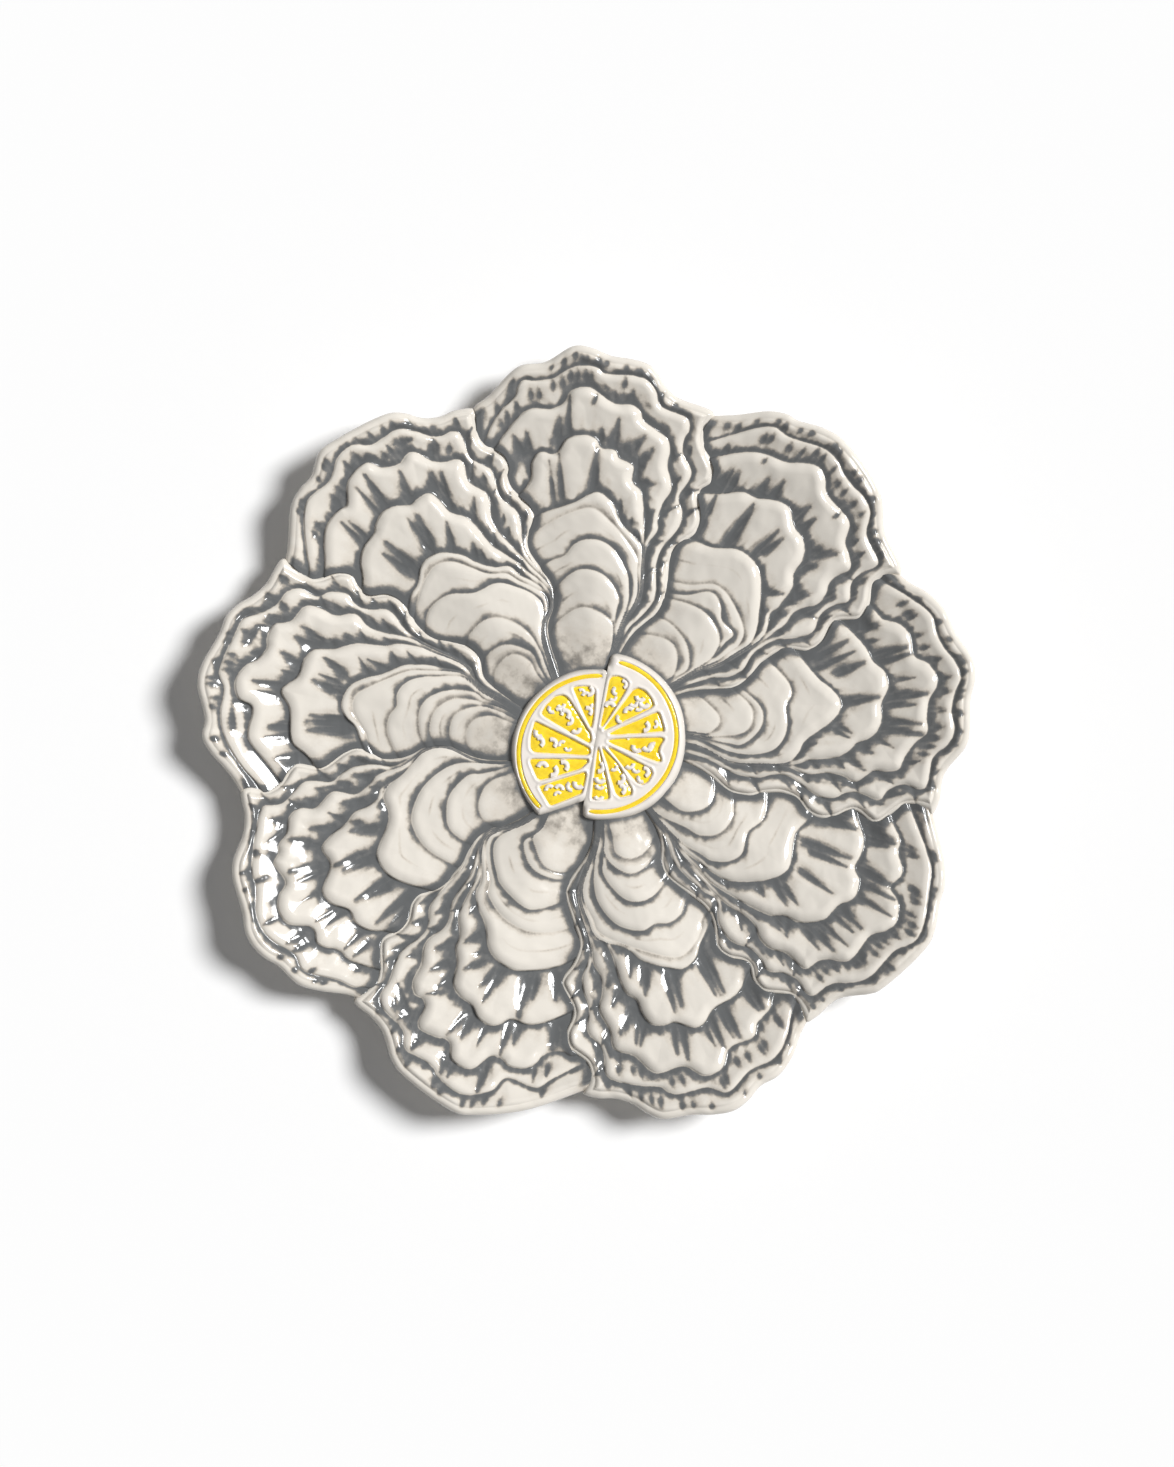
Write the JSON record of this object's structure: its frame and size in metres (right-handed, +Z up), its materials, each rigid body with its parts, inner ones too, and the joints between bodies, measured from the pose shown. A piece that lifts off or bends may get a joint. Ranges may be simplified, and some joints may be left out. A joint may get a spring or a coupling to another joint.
{
  "type": "oyster plate",
  "caption": "Lobed ceramic serving plate with overlapping oyster shells in relief round a central pair of lemon slices, standing on a foot ring.",
  "frame": {"origin": "under the middle of the plate's extent, on the plane that the foot ring stands on", "axes": "+Z up out of the dish; +Y towards the top of the picture; +X to its right"},
  "size_m": [0.2718, 0.2696, 0.0236],
  "materials": {
    "shell_glaze": "glossy cream glaze with grey pooled in the steps and folds",
    "body_glaze": "glossy cream glaze",
    "foot_bisque": "bare fired clay, matt",
    "lemon_pith": "glossy white glaze",
    "lemon_yellow": "glossy yellow glaze"
  },
  "bodies": {
    "root": {"plate_body": "body_glaze", "foot_ring": "foot_bisque", "oyster_shell_1": "shell_glaze", "oyster_shell_2": "shell_glaze", "oyster_shell_3": "shell_glaze", "oyster_shell_4": "shell_glaze", "oyster_shell_5": "shell_glaze", "oyster_shell_6": "shell_glaze", "oyster_shell_7": "shell_glaze", "oyster_shell_8": "shell_glaze", "oyster_shell_9": "shell_glaze", "lemon_half_left": "lemon_pith", "lemon_half_right": "lemon_pith", "left_rind_glaze": "lemon_yellow", "left_flesh_1": "lemon_yellow", "left_flesh_2": "lemon_yellow", "left_flesh_3": "lemon_yellow", "left_flesh_4": "lemon_yellow", "left_flesh_5": "lemon_yellow", "right_rind_glaze": "lemon_yellow", "right_flesh_1": "lemon_yellow", "right_flesh_2": "lemon_yellow", "right_flesh_3": "lemon_yellow", "right_flesh_4": "lemon_yellow", "right_flesh_5": "lemon_yellow", "right_flesh_6": "lemon_yellow", "right_flesh_7": "lemon_yellow"}
  },
  "joints": []
}
